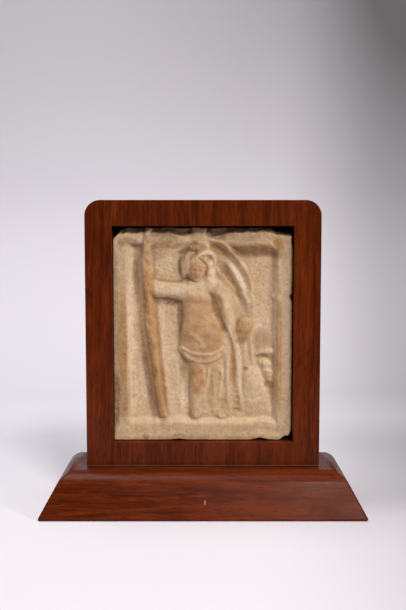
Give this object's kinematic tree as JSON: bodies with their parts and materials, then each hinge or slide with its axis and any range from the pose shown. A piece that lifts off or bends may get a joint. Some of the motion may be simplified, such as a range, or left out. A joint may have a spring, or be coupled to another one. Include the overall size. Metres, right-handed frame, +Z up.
{
  "type": "framed marble relief plaque on a stand",
  "caption": "Carved marble relief of a standing draped figure with a staff, set in an upright wooden box frame on a hipped wooden base that stands on a table or shelf.",
  "frame": {"origin": "on the floor plane, at the middle of the base's underside", "axes": "+X along the base, to the viewer's right; +Y from the carved face to the back; +Z up"},
  "size_m": [0.286, 0.1188, 0.2776],
  "materials": {
    "marble": "worn antique marble with honey-brown patina",
    "polished_wood": "red-brown wood, polished, vertical grain",
    "dark_board": "plain dark stained board",
    "moulded_wood": "red-brown wood, polished, grain along the length"
  },
  "bodies": {
    "root": {"relief_plaque": "marble", "frame": "polished_wood", "back_panel": "dark_board", "base": "moulded_wood"}
  },
  "joints": []
}
